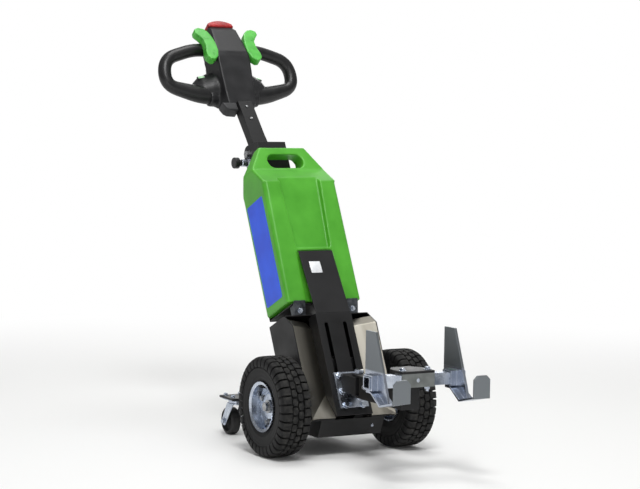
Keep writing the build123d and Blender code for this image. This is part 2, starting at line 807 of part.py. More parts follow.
# castors: fixed top plate, swivel fork, axle and wheel
axle_drop = castor_wheel_dia / 2
for side_name, sx in [("left", -1), ("right", 1)]:
    cx = sx * castor_x
    with BuildPart() as castor_plate:
        with BuildSketch(floor_plan.offset(castor_plate_z - 4)):
            with Locations((cx, castor_y)):
                Rectangle(60, 60)
        extrude(amount=4)
        with BuildSketch(floor_plan.offset(castor_plate_z - 15)):
            with Locations((cx, castor_y)):
                Circle(castor_stem_dia / 2)
        extrude(amount=11)
    save(castor_plate, "castor_plate_" + side_name)

    with BuildPart() as fork:
        with BuildSketch(floor_plan.offset(castor_plate_z - 16)):
            with Locations((cx, castor_y)):
                Circle(25)
        extrude(amount=4)
        with BuildSketch(floor_plan.offset(castor_plate_z - 12)):
            with Locations((cx, castor_y)):
                Circle(22)
        extrude(amount=6)
        for fx in [-fork_leg_x, fork_leg_x]:
            with BuildSketch(flat_side.offset(cx + fx)):
                with BuildLine():
                    Polyline(
                        (castor_y - 20, castor_plate_z - 12),
                        (castor_y + 14, castor_plate_z - 12),
                        (castor_y + castor_trail + 11, axle_drop + 6),
                        (castor_y + castor_trail - 10, axle_drop - 6),
                        close=True,
                    )
                make_face()
                with Locations((castor_y + castor_trail, axle_drop)):
                    Circle(12)
            extrude(amount=fork_leg_thick / 2, both=True)
        with BuildSketch(floor_plan):
            with Locations((cx, castor_y)):
                Circle(castor_stem_dia / 2 + running_gap)
        extrude(amount=through, mode=Mode.SUBTRACT)
        with BuildSketch(flat_side):
            with Locations((castor_y + castor_trail, axle_drop)):
                Circle(castor_axle_dia / 2 + running_gap)
        extrude(amount=2 * through, both=True, mode=Mode.SUBTRACT)
    save(fork, "castor_fork_" + side_name)

    castor_section = Plane(origin=(cx, axle_y + castor_y + castor_trail, axle_drop), x_dir=(1, 0, 0), z_dir=(0, -1, 0))
    with BuildPart() as castor_wheel:
        with BuildSketch(castor_section):
            with BuildLine():
                Polyline(
                    (-castor_wheel_half - 3, castor_axle_dia / 2 + running_gap),
                    (-castor_wheel_half - 3, 10),
                    (-4, 14),
                    (-4, axle_drop - 12),
                    (-castor_wheel_half, axle_drop - 9),
                    (-castor_wheel_half + 2, axle_drop - 2),
                    (-castor_wheel_half + 6, axle_drop),
                    (castor_wheel_half - 6, axle_drop),
                    (castor_wheel_half - 2, axle_drop - 2),
                    (castor_wheel_half, axle_drop - 9),
                    (4, axle_drop - 12),
                    (4, 14),
                    (castor_wheel_half + 3, 10),
                    (castor_wheel_half + 3, castor_axle_dia / 2 + running_gap),
                    close=True,
                )
            make_face()
        revolve(axis=Axis((cx, axle_y + castor_y + castor_trail, axle_drop), (1, 0, 0)))
    save(castor_wheel, "castor_wheel_" + side_name)

    with BuildPart() as castor_axle:
        with BuildSketch(flat_side.offset(cx)):
            with Locations((castor_y + castor_trail, axle_drop)):
                Circle(castor_axle_dia / 2)
        extrude(amount=fork_leg_x + 6, both=True)
    save(castor_axle, "castor_axle_" + side_name)
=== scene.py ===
import json
import math
import bmesh
import bpy
from mathutils import Matrix, Quaternion, Vector


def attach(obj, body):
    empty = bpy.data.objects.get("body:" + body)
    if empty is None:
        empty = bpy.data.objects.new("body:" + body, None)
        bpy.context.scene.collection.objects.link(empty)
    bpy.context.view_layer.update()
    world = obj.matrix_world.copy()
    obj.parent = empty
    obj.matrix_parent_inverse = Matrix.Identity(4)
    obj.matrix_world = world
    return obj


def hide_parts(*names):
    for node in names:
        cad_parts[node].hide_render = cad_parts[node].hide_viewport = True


# The looks of a pedestrian battery tow tractor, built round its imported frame. Metres; sizes in mm say so.

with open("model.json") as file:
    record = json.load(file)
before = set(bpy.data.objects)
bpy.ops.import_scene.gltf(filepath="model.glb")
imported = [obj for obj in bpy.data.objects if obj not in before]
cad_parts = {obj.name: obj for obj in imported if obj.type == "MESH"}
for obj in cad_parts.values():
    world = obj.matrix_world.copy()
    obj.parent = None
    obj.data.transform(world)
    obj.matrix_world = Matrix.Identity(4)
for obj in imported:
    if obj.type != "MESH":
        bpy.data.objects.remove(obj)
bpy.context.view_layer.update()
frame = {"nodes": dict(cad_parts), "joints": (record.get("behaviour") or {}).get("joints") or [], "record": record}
nodes = frame["nodes"]
jointPlace = {joint["name"]: Vector(joint["pos_m"]) for joint in frame["joints"]}
print("frame loaded:", len(nodes), "nodes")

mm = 0.001
sides = {"left": -1, "right": 1}


# Places: the mast leans back, the tiller leans further.

leanDegrees = 25.5
tillerDegrees = 41.0


def slopedFrame(origin, degrees):  # local X across, Y up along the slope, Z out of its front; in mm
    s, c = math.sin(math.radians(degrees)), math.cos(math.radians(degrees))
    turned = Matrix(((1, 0, 0, 0), (0, s, -c, 0), (0, c, s, 0), (0, 0, 0, 1)))
    return Matrix.Translation(origin) @ turned @ Matrix.Scale(mm, 4)


axlePlace = jointPlace["wheel_left_spin"]
mast = slopedFrame((0, axlePlace.y, axlePlace.z), leanDegrees)
tiller = slopedFrame(jointPlace["tiller_tilt"], tillerDegrees)
upright = Matrix.Translation((0, axlePlace.y, 0)) @ Matrix.Scale(mm, 4)


def seat(base, point, direction, turn=0.0):  # a small frame in mm at a point of base, Z along direction
    spin = Vector(direction).to_track_quat("Z", "Y").to_matrix().to_4x4()
    return base @ Matrix.Translation(point) @ spin @ Matrix.Rotation(math.radians(turn), 4, "Z")


# Materials.

def hexColour(code):  # sRGB hex to linear
    parts = [int(code[i:i + 2], 16) / 255 for i in (0, 2, 4)]
    return tuple(p / 12.92 if p <= 0.04045 else ((p + 0.055) / 1.055) ** 2.4 for p in parts) + (1.0,)


def addNode(tree, kind, settings=None, links=None):
    node = tree.nodes.new(kind)
    for key, value in (settings or {}).items():
        if isinstance(key, int) or key in node.inputs:
            node.inputs[key].default_value = value
        else:
            setattr(node, key, value)
    for key, source in (links or {}).items():
        tree.links.new(source, node.inputs[key])
    return node


# Each finish starts from the real one. patchMm is how wide its cloudy patches are, grainMm its fine texture.
# Most real grains are finer than 1 mm and are drawn coarser here so that they show.
# edge is a paler corner colour and its share: partly wear, partly a painted highlight.
finishes = {
    "rotomoulded polyethylene": {  # battery box: waxy green with a fine pebble; its corners are painted paler, partly scuffs and partly a painted highlight
        "dark": "43981F", "pale": "54AE2E", "patchMm": 90, "rough": (0.34, 0.46), "ior": 1.51,
        "grainMm": 3.0, "grainDepth": 0.10, "edge": ("8EE06A", 0.55)},
    "moulded green ABS": {  # thumb paddles: cleaner and glossier than the box
        "dark": "3FA032", "pale": "56BC46", "patchMm": 25, "rough": (0.26, 0.36), "ior": 1.53,
        "grainMm": 2.5, "grainDepth": 0.03, "edge": ("7FD870", 0.4)},
    "moulded black ABS": {  # tiller head: satin charcoal with a spark-eroded grain
        "dark": "141416", "pale": "1E1E20", "patchMm": 40, "rough": (0.38, 0.50), "ior": 1.48,
        "grainMm": 2.5, "grainDepth": 0.06, "edge": ("4A4A4D", 0.35)},
    "foamed grip rubber": {  # loop handle: soft black skin with broad dull highlights
        "dark": "0D0D0E", "pale": "141415", "patchMm": 30, "rough": (0.32, 0.44), "ior": 1.48,
        "grainMm": 3.0, "grainDepth": 0.05},
    "gloss red ABS": {  # belly switch: deep clear red
        "dark": "8E1417", "pale": "B01E20", "patchMm": 20, "rough": (0.16, 0.24), "ior": 1.53,
        "grainMm": 6.0, "grainDepth": 0.03},
    "pale rocker ABS": {  # rocker switches
        "dark": "9FD8A2", "pale": "C4EEC2", "patchMm": 9, "rough": (0.25, 0.34), "ior": 1.53,
        "grainMm": 2.5, "grainDepth": 0.02},
    "black powder coat": {  # panels and column: soft orange peel; edges painted a little grey, partly rubbed wear and partly a painted highlight
        "dark": "09090A", "pale": "0F0F10", "patchMm": 55, "rough": (0.42, 0.56), "ior": 1.42,
        "grainMm": 3.2, "grainDepth": 0.08, "edge": ("38383A", 0.45)},
    "grey wet paint": {  # sleeve of the crossbar
        "dark": "5A5E5C", "pale": "747876", "patchMm": 22, "rough": (0.42, 0.56), "ior": 1.5,
        "grainMm": 4.0, "grainDepth": 0.05, "edge": ("9A9E9C", 0.4)},
    "bright zinc plate": {  # rims, bar and fixings: cold blue-white with cloudy patches
        "dark": "A8B0BE", "pale": "CDD4DF", "patchMm": 24, "rough": (0.20, 0.32), "metallic": 1.0,
        "grainMm": 5.0, "grainDepth": 0.008},
    "turned steel": {  # pins and axle ends
        "dark": "8C8D8F", "pale": "B6B7B8", "patchMm": 9, "rough": (0.22, 0.34), "metallic": 1.0,
        "grainMm": 3.0, "grainDepth": 0.006},
    "brushed stainless": {  # front covers: brush lines run up the slope, drawn 3 mm wide so that they show; above a height the colour is darkened as painted shade and painted reflection of the box
        "dark": "8F8B80", "pale": "B4B0A6", "patchMm": 60, "rough": (0.30, 0.42), "metallic": 1.0,
        "grainMm": 3.0, "grainDepth": 0.02, "brushed": (1.0, 0.03, 1.0), "paintedShade": (0.190, 0.40)},
    "zinc with painted shade": {  # latch feet under the box: zinc painted dark, a painted shade for the shadow under the box
        "dark": "3E4145", "pale": "6A6E73", "patchMm": 10, "rough": (0.38, 0.52), "metallic": 1.0,
        "grainMm": 4.0, "grainDepth": 0.01},
    "sand cast iron": {  # transaxle: dark, dry and rough
        "dark": "1A1A1B", "pale": "2A2A2B", "patchMm": 20, "rough": (0.62, 0.78), "ior": 1.5,
        "grainMm": 3.5, "grainDepth": 0.35},
    "castor rubber": {  # solid black tyre with floor dust
        "dark": "141414", "pale": "2A2A29", "patchMm": 12, "rough": (0.66, 0.82), "ior": 1.52,
        "grainMm": 3.0, "grainDepth": 0.10},
    "blue vinyl film": {  # blank side label: strong blue, smooth and a little glossy
        "dark": "1F4FDC", "pale": "2E60EE", "patchMm": 70, "rough": (0.36, 0.46), "ior": 1.42,
        "grainMm": 8.0, "grainDepth": 0.03},
    "white vinyl film": {  # blank front label
        "dark": "D8DADD", "pale": "EEF0F2", "patchMm": 20, "rough": (0.28, 0.36), "ior": 1.46,
        "grainMm": 8.0, "grainDepth": 0.03},
    "black film": {  # blank plate on the head
        "dark": "08080A", "pale": "0E0E0F", "patchMm": 18, "rough": (0.40, 0.50), "ior": 1.42,
        "grainMm": 8.0, "grainDepth": 0.02},
}


def startMaterial(name):
    material = bpy.data.materials.new(name)
    material.use_nodes = True
    material.node_tree.nodes.clear()
    return material, material.node_tree


def makeFinish(name, finish):
    material, tree = startMaterial(name)
    place = addNode(tree, "ShaderNodeTexCoord").outputs["Object"]
    grainPlace = place
    if "brushed" in finish:
        lean = (math.radians(90 - leanDegrees), 0, 0)
        turned = addNode(tree, "ShaderNodeMapping", {"vector_type": "TEXTURE", "Rotation": lean},
                         {"Vector": place})
        grainPlace = addNode(tree, "ShaderNodeMapping", {"Scale": finish["brushed"]},
                             {"Vector": turned.outputs[0]}).outputs[0]
    patches = addNode(tree, "ShaderNodeTexNoise", {"Scale": 1000 / finish["patchMm"], "Detail": 3.0},
                      {"Vector": grainPlace})
    spread = addNode(tree, "ShaderNodeMapRange", {"From Min": 0.32, "From Max": 0.68},
                     {"Value": patches.outputs[0]})
    colour = addNode(tree, "ShaderNodeMix", {"data_type": "RGBA", 6: hexColour(finish["dark"]),
                     7: hexColour(finish["pale"])}, {0: spread.outputs[0]}).outputs[2]
    if "paintedShade" in finish:  # painted shade and painted reflection: the colour is darkened above this height on the slope, standing in for the shade of the box and its dark underside mirrored in the steel
        shadeStart, shadeShare = finish["paintedShade"]
        upSlope = tuple(mast.col[1].xyz / mm)
        slope = addNode(tree, "ShaderNodeVectorMath", {"operation": "DOT_PRODUCT", 1: upSlope},
                        {0: place}).outputs["Value"]
        start = shadeStart + mast.col[1].xyz.dot(mast.translation) / mm
        shade = addNode(tree, "ShaderNodeMapRange",
                        {"From Min": start, "From Max": start + 0.004, "To Min": 1.0, "To Max": shadeShare},
                        {"Value": slope}).outputs[0]
        colour = addNode(tree, "ShaderNodeVectorMath", {"operation": "SCALE"},
                         {0: colour, "Scale": shade}).outputs[0]
    if "edge" in finish:  # painted highlight and wear: corners are painted in the edge colour, partly for wear and partly for the light they catch
        edgeHex, edgeShare = finish["edge"]
        point = addNode(tree, "ShaderNodeNewGeometry").outputs["Pointiness"]
        toneMask = addNode(tree, "ShaderNodeMapRange", {"From Min": 0.52, "From Max": 0.60, "To Max": edgeShare},
                       {"Value": point})
        colour = addNode(tree, "ShaderNodeMix", {"data_type": "RGBA", 7: hexColour(edgeHex)},
                         {0: toneMask.outputs[0], 6: colour}).outputs[2]
    grain = addNode(tree, "ShaderNodeTexNoise", {"Scale": 1000 / finish["grainMm"], "Detail": 2.0},
                    {"Vector": grainPlace})
    roughLow, roughHigh = finish["rough"]
    rough = addNode(tree, "ShaderNodeMapRange", {"From Min": 0.3, "From Max": 0.7, "To Min": roughLow,
                    "To Max": roughHigh}, {"Value": patches.outputs[0]})
    bump = addNode(tree, "ShaderNodeBump", {"Strength": 0.6, "Distance": finish["grainDepth"] * mm},
                   {"Height": grain.outputs[0]})
    settings = {"Metallic": finish.get("metallic", 0.0)}
    if "ior" in finish:
        settings["IOR"] = finish["ior"]
    shader = addNode(tree, "ShaderNodeBsdfPrincipled", settings,
                     {"Base Color": colour, "Roughness": rough.outputs[0], "Normal": bump.outputs[0]})
    addNode(tree, "ShaderNodeOutputMaterial", None, {"Surface": shader.outputs[0]})
    return material


materials = {name: makeFinish(name, finish) for name, finish in finishes.items()}

tyreRubber = {"wall": "0A0A0B", "tread": "1C1C1C", "dust": "3C3B39", "treadStart": 0.1235,
              "treadEnd": 0.1285, "dustMm": 14, "grainMm": 2.6, "grainDepth": 0.2, "rough": (0.62, 0.88),
              "ior": 1.42}


def makeTyreRubber(name, look):  # carbon-black rubber: deep black walls, tread tops dulled grey by the floor
    material, tree = startMaterial(name)
    place = addNode(tree, "ShaderNodeTexCoord").outputs["Object"]
    hubPlace = (0, axlePlace.y, axlePlace.z)
    fromHub = addNode(tree, "ShaderNodeVectorMath", {"operation": "SUBTRACT", 1: hubPlace}, {0: place})
    across = addNode(tree, "ShaderNodeVectorMath", {"operation": "MULTIPLY", 1: (0, 1, 1)},
                     {0: fromHub.outputs[0]})
    radius = addNode(tree, "ShaderNodeVectorMath", {"operation": "LENGTH"},
                     {0: across.outputs[0]}).outputs["Value"]
    onTread = addNode(tree, "ShaderNodeMapRange",
                      {"From Min": look["treadStart"], "From Max": look["treadEnd"]},
                      {"Value": radius})
    dust = addNode(tree, "ShaderNodeTexNoise", {"Scale": 1000 / look["dustMm"], "Detail": 4.0},
                   {"Vector": place})
    dustSpread = addNode(tree, "ShaderNodeMapRange", {"From Min": 0.42, "From Max": 0.72, "To Max": 0.8},
                         {"Value": dust.outputs[0]})
    tread = addNode(tree, "ShaderNodeMix", {"data_type": "RGBA", 6: hexColour(look["tread"]),
                    7: hexColour(look["dust"])}, {0: dustSpread.outputs[0]})
    colour = addNode(tree, "ShaderNodeMix", {"data_type": "RGBA", 6: hexColour(look["wall"])},
                     {0: onTread.outputs[0], 7: tread.outputs[2]})
    roughWall, roughTread = look["rough"]
    rough = addNode(tree, "ShaderNodeMapRange", {"To Min": roughWall, "To Max": roughTread},
                    {"Value": onTread.outputs[0]})
    grain = addNode(tree, "ShaderNodeTexNoise", {"Scale": 1000 / look["grainMm"], "Detail": 2.0},
                    {"Vector": place})
    bump = addNode(tree, "ShaderNodeBump", {"Strength": 0.5, "Distance": look["grainDepth"] * mm},
                   {"Height": grain.outputs[0]})
    shader = addNode(tree, "ShaderNodeBsdfPrincipled", {"IOR": look["ior"]},
                     {"Base Color": colour.outputs[2], "Roughness": rough.outputs[0],
                      "Normal": bump.outputs[0]})
    addNode(tree, "ShaderNodeOutputMaterial", None, {"Surface": shader.outputs[0]})
    return material


materials["tyre rubber"] = makeTyreRubber("tyre rubber", tyreRubber)

hookZinc = {"bright": "C4CAD6", "cloud": "9AA2B0", "dull": "858A8E", "patchMm": 18, "grainMm": 3.5,
            "grainDepth": 0.05, "rough": (0.26, 0.44), "guideLow": 0.262, "lipRear": -0.4825}


def makeHookZinc(name, look):  # zinc plate: bright on clamp and strap, dull where trolleys rub guide and lip
    material, tree = startMaterial(name)
    place = addNode(tree, "ShaderNodeTexCoord").outputs["Object"]
    axes = addNode(tree, "ShaderNodeSeparateXYZ", None, {0: place})
    guide = addNode(tree, "ShaderNodeMapRange",
                    {"From Min": look["guideLow"], "From Max": look["guideLow"] + 0.004},
                    {"Value": axes.outputs["Z"]})
    lipStart = axlePlace.y + look["lipRear"]
    lip = addNode(tree, "ShaderNodeMapRange", {"From Min": lipStart, "From Max": lipStart - 0.001},
                  {"Value": axes.outputs["Y"]})
    toneMask = addNode(tree, "ShaderNodeMath", {"operation": "MAXIMUM"},
                   {0: guide.outputs[0], 1: lip.outputs[0]})
    patches = addNode(tree, "ShaderNodeTexNoise", {"Scale": 1000 / look["patchMm"], "Detail": 3.0},
                      {"Vector": place})
    bright = addNode(tree, "ShaderNodeMix", {"data_type": "RGBA", 6: hexColour(look["cloud"]),
                     7: hexColour(look["bright"])}, {0: patches.outputs[0]})
    colour = addNode(tree, "ShaderNodeMix", {"data_type": "RGBA", 7: hexColour(look["dull"])},
                     {0: toneMask.outputs[0], 6: bright.outputs[2]})
    roughBright, roughWorn = look["rough"]
    rough = addNode(tree, "ShaderNodeMapRange", {"To Min": roughBright, "To Max": roughWorn},
                    {"Value": toneMask.outputs[0]})
    grain = addNode(tree, "ShaderNodeTexNoise", {"Scale": 1000 / look["grainMm"], "Detail": 2.0},
                    {"Vector": place})
    bump = addNode(tree, "ShaderNodeBump", {"Strength": 0.5, "Distance": look["grainDepth"] * mm},
                   {"Height": grain.outputs[0]})
    shader = addNode(tree, "ShaderNodeBsdfPrincipled", {"Metallic": 1.0},
                     {"Base Color": colour.outputs[2], "Roughness": rough.outputs[0],
                      "Normal": bump.outputs[0]})
    addNode(tree, "ShaderNodeOutputMaterial", None, {"Surface": shader.outputs[0]})
    return material


materials["hook zinc"] = makeHookZinc("hook zinc", hookZinc)
print("materials ready:", len(materials))


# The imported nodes: finish and soft edges.

slotFinish = {"tyre": "tyre rubber", "caster_tyre": "castor rubber", "zinc": "bright zinc plate",
              "steel": "turned steel", "casting": "sand cast iron", "black_paint": "black powder coat",
              "grey_paint": "grey wet paint", "stainless": "brushed stainless",
              "green_plastic": "rotomoulded polyethylene", "black_plastic": "moulded black ABS",
              "red_plastic": "gloss red ABS"}
# The latch feet take zinc painted dark as painted shade for the shadow under the box.
nodeFinish = {"hook_left": "hook zinc", "hook_right": "hook zinc", "loop_handle": "foamed grip rubber",
              "box_latch_left": "zinc with painted shade", "box_latch_right": "zinc with painted shade"}
edgeMm = {"belly_switch": 4.0, "key_box": 4.0, "index_plunger": 2.0, "castor_wheel_left": 1.5,
          "castor_wheel_right": 1.5, "pivot_block": 2.0, "tiller_tube": 2.0, "column": 2.0, "drawbar": 1.0,
          "hook_left": 1.2, "hook_right": 1.2, "front_cover_left": 0.8, "front_cover_right": 0.8,
          "transaxle": 3.0, "castor_fork_left": 0.8, "castor_fork_right": 0.8}
plainEdgeMm = 1.0
mouldedNodes = {"battery_box": (2.5, 8)}  # voxel size in mm, rounds of smoothing


def softenEdges(node, widthMm):  # small rounded edges that catch the light
    weld = node.modifiers.new("weld", "WELD")
    weld.merge_threshold = 0.00002
    flat = node.modifiers.new("flat faces", "DECIMATE")
    flat.decimate_type = "DISSOLVE"
    flat.angle_limit = math.radians(0.6)
    bevel = node.modifiers.new("rounded edges", "BEVEL")
    bevel.width = widthMm * mm
    bevel.segments = 3
    bevel.limit_method = "ANGLE"
    bevel.angle_limit = math.radians(22)
    bevel.use_clamp_overlap = False
    node.modifiers.new("even shading", "WEIGHTED_NORMAL")


def mouldForm(node, voxelMm, rounds):  # joins overlapping forms into one moulded skin with soft corners
    remesh = node.modifiers.new("moulded skin", "REMESH")
    remesh.mode = "VOXEL"
    remesh.voxel_size = voxelMm * mm
    remesh.use_smooth_shade = True
    smooth = node.modifiers.new("soft corners", "SMOOTH")
    smooth.factor = 0.5
    smooth.iterations = rounds


replacedNodes = ("tyre_left", "tyre_right", "tiller_head", "loop_handle", "drive_paddle_left",
                 "drive_paddle_right")
keptShading = ("rim_left", "rim_right", "hinge_pin", "wheel_shaft_left", "wheel_shaft_right",
               "castor_axle_left", "castor_axle_right", "pivot_pin")
for part in frame["record"]["subparts"]:
    node = nodes[part["node"]]
    finish = nodeFinish.get(part["node"], slotFinish[part["material_slot"]])
    node.material_slots[0].material = materials[finish]
    if part["node"] in replacedNodes or part["node"] in keptShading:
        continue
    if part["node"] in mouldedNodes:
        mouldForm(node, *mouldedNodes[part["node"]])
    else:
        softenEdges(node, edgeMm.get(part["node"], plainEdgeMm))
print("packed nodes dressed")


# Mesh helpers.

def addTurned(bm, rings, base, steps):  # rings of (radius, height) turned round the base's own Z
    rows = []
    for radius, height in rings:
        rows.append([bm.verts.new(base @ Vector((radius * math.cos(math.tau * k / steps),
                                                 radius * math.sin(math.tau * k / steps), height)))
                     for k in range(steps)])
    for lower, upper in zip(rows, rows[1:]):
        for k in range(steps):
            bm.faces.new((lower[k], lower[(k + 1) % steps], upper[(k + 1) % steps], upper[k]))
    bm.faces.new(rows[0][::-1])
    bm.faces.new(rows[-1])


def addPad(bm, wide, high, low, top, base, corner=2.0, chamfer=0.4):  # a flat pad with rounded corners
    def ring(inset, level):
        out = []
        radius = corner - inset
        for quarter, (mx, my) in enumerate([(1, 1), (-1, 1), (-1, -1), (1, -1)]):
            for k in range(5):
                angle = math.radians(quarter * 90 + k * 22.5)
                out.append(bm.verts.new(base @ Vector((
                    mx * (wide / 2 - corner) + radius * math.cos(angle),
                    my * (high / 2 - corner) + radius * math.sin(angle), level))))
        return out
    rows = [ring(0, low), ring(0, top - chamfer), ring(chamfer, top)]
    for lower, upper in zip(rows, rows[1:]):
        for k in range(len(lower)):
            nextK = (k + 1) % len(lower)
            bm.faces.new((lower[k], lower[nextK], upper[nextK], upper[k]))
    bm.faces.new(rows[0][::-1])
    bm.faces.new(rows[-1])


def addHexBolt(bm, base, across, tall, washer=True):  # washer, chamfered hexagon and a low crown
    r = across / 2 / math.cos(math.radians(30))
    lift = 0.0
    if washer:
        addTurned(bm, [(r * 1.32, -0.5), (r * 1.32, 1.0), (r * 1.25, 1.5)], base, 24)
        lift = 1.4
    addTurned(bm, [(r, lift - 0.2), (r, lift + tall * 0.84), (r * 0.86, lift + tall)], base, 6)
    addTurned(bm, [(r * 0.78, lift + tall - 0.3), (r * 0.70, lift + tall + 0.5)], base, 20)


def addDomeScrew(bm, base, r):  # domed head with its socket
    addTurned(bm, [(r, -0.4), (r, r * 0.25), (r * 0.88, r * 0.55), (r * 0.6, r * 0.76), (r * 0.42, r * 0.8),
                   (r * 0.40, r * 0.4)], base, 20)


def newPiece(name, bm, finish, body, smooth=True):
    mesh = bpy.data.meshes.new(name)
    bmesh.ops.recalc_face_normals(bm, faces=bm.faces)
    bm.to_mesh(mesh)
    bm.free()
    mesh.materials.append(materials[finish])
    mesh.polygons.foreach_set("use_smooth", [smooth] * len(mesh.polygons))
    piece = bpy.data.objects.new(name, mesh)
    bpy.context.scene.collection.objects.link(piece)
    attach(piece, body)
    return piece


# Tyres: carcass with wall rings, shoulder blocks that run down the wall, zig-zag crown blocks.

tyreBuild = {
    "pitches": 36, "steps": 144, "radius": 130, "blockHalf": 9.0, "blockChamfer": 0.9, "sink": 1.6,
    "wallAcross": 38, "creaseDegrees": 38,
    # across and radius in mm, from the crown's floor to the bead
    "carcass": [(0, 123.4), (14, 123.3), (24, 122.4), (31, 119.8), (36, 114.8), (38.6, 108), (40, 101),
                (40.7, 100), (40.9, 97.5), (40.3, 96.5), (40.4, 91), (39.9, 85), (38.6, 80), (38.9, 78.6),
                (38.2, 76), (36.2, 71.5), (35.6, 68.6), (34.6, 66), (31, 61.2), (20, 61.2)],
    # across and radius of the shoulder block's top, and its height over the carcass
    "shoulder": [(18.2, 129.9, 6.6), (26, 129.7, 6.9), (33, 128.9, 7.6), (38.2, 126.2, 8.0),
                 (41.4, 121.0, 6.8), (42.5, 113.5, 4.6), (42.3, 106.5, 2.6), (41.2, 103.0, 1.4)],
    # across and along of a crown block
    "crown": [(2.8, -9.2), (0.6, 0.0), (2.8, 9.2), (13.2, 9.2), (16.0, 0.0), (13.2, -9.2)],
    "crownTop": 129.9, "crownFoot": 121.5, "crownChamfer": 0.9, "crownShare": 0.90,
}


def wheelPoint(hub, sx, across, radius, angle):
    return hub + Vector((sx * across, radius * math.cos(angle), radius * math.sin(angle))) * mm


def addCarcass(bm, hub, build):
    half = build["carcass"]
    rows = [(-a, r) for a, r in half[:0:-1]] + list(half)
    steps = build["steps"]
    turns = [math.tau * k / steps for k in range(steps)]
    rings = [[bm.verts.new(wheelPoint(hub, 1, a, r, turn)) for turn in turns] for a, r in rows]
    for one, other in zip(rings, rings[1:] + rings[:1]):
        for k in range(steps):
            bm.faces.new((one[k], one[(k + 1) % steps], other[(k + 1) % steps], other[k]))


def addShoulderBlock(bm, hub, sx, angle, build):
    half, chamfer, sink = build["blockHalf"], build["blockChamfer"], build["sink"]
    stations = build["shoulder"]
    rows = []
    for i, (a, r, tall) in enumerate(stations):
        before, after = stations[max(i - 1, 0)], stations[min(i + 1, len(stations) - 1)]
        run = Vector((after[0] - before[0], after[1] - before[1])).normalized()
        out = Vector((-run.y, run.x))
        if out.y < 0 and a < build["wallAcross"]:
            out = -out
        row = []
        for along, down in [(-half, tall + sink), (-half, chamfer), (chamfer - half, 0), (half - chamfer, 0),
                            (half, chamfer), (half, tall + sink)]:
            across, radius = a - out.x * down, r - out.y * down
            turned = angle + along / build["radius"]
            row.append(bm.verts.new(wheelPoint(hub, sx, across, radius, turned)))
        rows.append(row)
    for one, other in zip(rows, rows[1:]):
        for k in range(5):
            bm.faces.new((one[k], one[k + 1], other[k + 1], other[k]))
    bm.faces.new(rows[0])
    bm.faces.new(rows[-1][::-1])


def addCrownBlock(bm, hub, sx, angle, build):
    outline = build["crown"]
    top = build["crownTop"]
    middle = sum(a for a, _ in outline) / len(outline)
    rows = []
    for share, radius in [(1.0, build["crownFoot"]), (1.0, top - build["crownChamfer"]),
                          (build["crownShare"], top)]:
        rows.append([bm.verts.new(wheelPoint(hub, sx, middle + (a - middle) * share, radius,
                                             angle + b * share / build["radius"])) for a, b in outline])
    for one, other in zip(rows, rows[1:]):
        for k in range(len(outline)):
            nextK = (k + 1) % len(outline)
            bm.faces.new((one[k], one[nextK], other[nextK], other[k]))
    bm.faces.new(rows[-1])


for sideName, sx in sides.items():
    hub = jointPlace["wheel_" + sideName + "_spin"]
    bm = bmesh.new()
    addCarcass(bm, hub, tyreBuild)
    for i in range(tyreBuild["pitches"]):
        pitch = math.tau / tyreBuild["pitches"]
        for way, shift in [(1, 0.0), (-1, 0.5)]:
            addShoulderBlock(bm, hub, way, (i + shift) * pitch, tyreBuild)
            addCrownBlock(bm, hub, way, (i + shift + 0.25) * pitch, tyreBuild)
    tyre = newPiece("tyre_treaded_" + sideName, bm, "tyre rubber", "wheel_" + sideName)
    crease = tyre.modifiers.new("block edges", "EDGE_SPLIT")
    crease.split_angle = math.radians(tyreBuild["creaseDegrees"])
    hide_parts("tyre_" + sideName)

rimFittings = {"bolts": 4, "boltCircle": 46.0, "boltFace": 10.2, "boltAcross": 13.0, "boltTall": 6.0,
               "valveCircle": 51.0, "valveFace": 9.0, "valveLong": 24.0, "valveLean": 0.25,
               "startDegrees": 20}
for sideName, sx in sides.items():
    hub = jointPlace["wheel_" + sideName + "_spin"]
    wheelBase = Matrix.Translation(hub) @ Matrix.Scale(mm, 4)
    bm = bmesh.new()
    for i in range(rimFittings["bolts"]):
        angle = math.radians(rimFittings["startDegrees"]) + math.tau * i / rimFittings["bolts"]
        ring = rimFittings["boltCircle"]
        spot = (sx * rimFittings["boltFace"], ring * math.cos(angle), ring * math.sin(angle))
        addHexBolt(bm, seat(wheelBase, spot, (sx, 0, 0), 15 * i), rimFittings["boltAcross"],
                   rimFittings["boltTall"])
    newPiece("rim_bolts_" + sideName, bm, "turned steel", "wheel_" + sideName, smooth=False)
    bm = bmesh.new()
    angle = math.radians(rimFittings["startDegrees"] + 45)
    ring = rimFittings["valveCircle"]
    spot = (sx * rimFittings["valveFace"], ring * math.cos(angle), ring * math.sin(angle))
    lean = rimFittings["valveLean"]
    long = rimFittings["valveLong"]
    valveBase = seat(wheelBase, spot, (sx, lean * math.cos(angle), lean * math.sin(angle)))
    addTurned(bm, [(5.5, 0), (5.5, 2), (4.2, 5), (3.6, long * 0.55), (4.4, long * 0.56), (4.4, long * 0.94),
                   (3.2, long)], valveBase, 20)
    newPiece("valve_" + sideName, bm, "castor rubber", "wheel_" + sideName)
print("wheels ready")


# Hitch: bolts on the plate, the bar and the drawbar.

hitchBolts = {"plateFace": 81.0, "plate": [(-27, 47), (-28, 5), (24, -34), (-26, -33), (27, 47)],
              "across": 13.0, "tall": 5.5}
bm = bmesh.new()
for x, s in hitchBolts["plate"]:
    addHexBolt(bm, seat(mast, (x, s, hitchBolts["plateFace"]), (0, 0, 1), 11 * x), hitchBolts["across"],
               hitchBolts["tall"])
newPiece("hitch_plate_bolts", bm, "bright zinc plate", "frame", smooth=False)

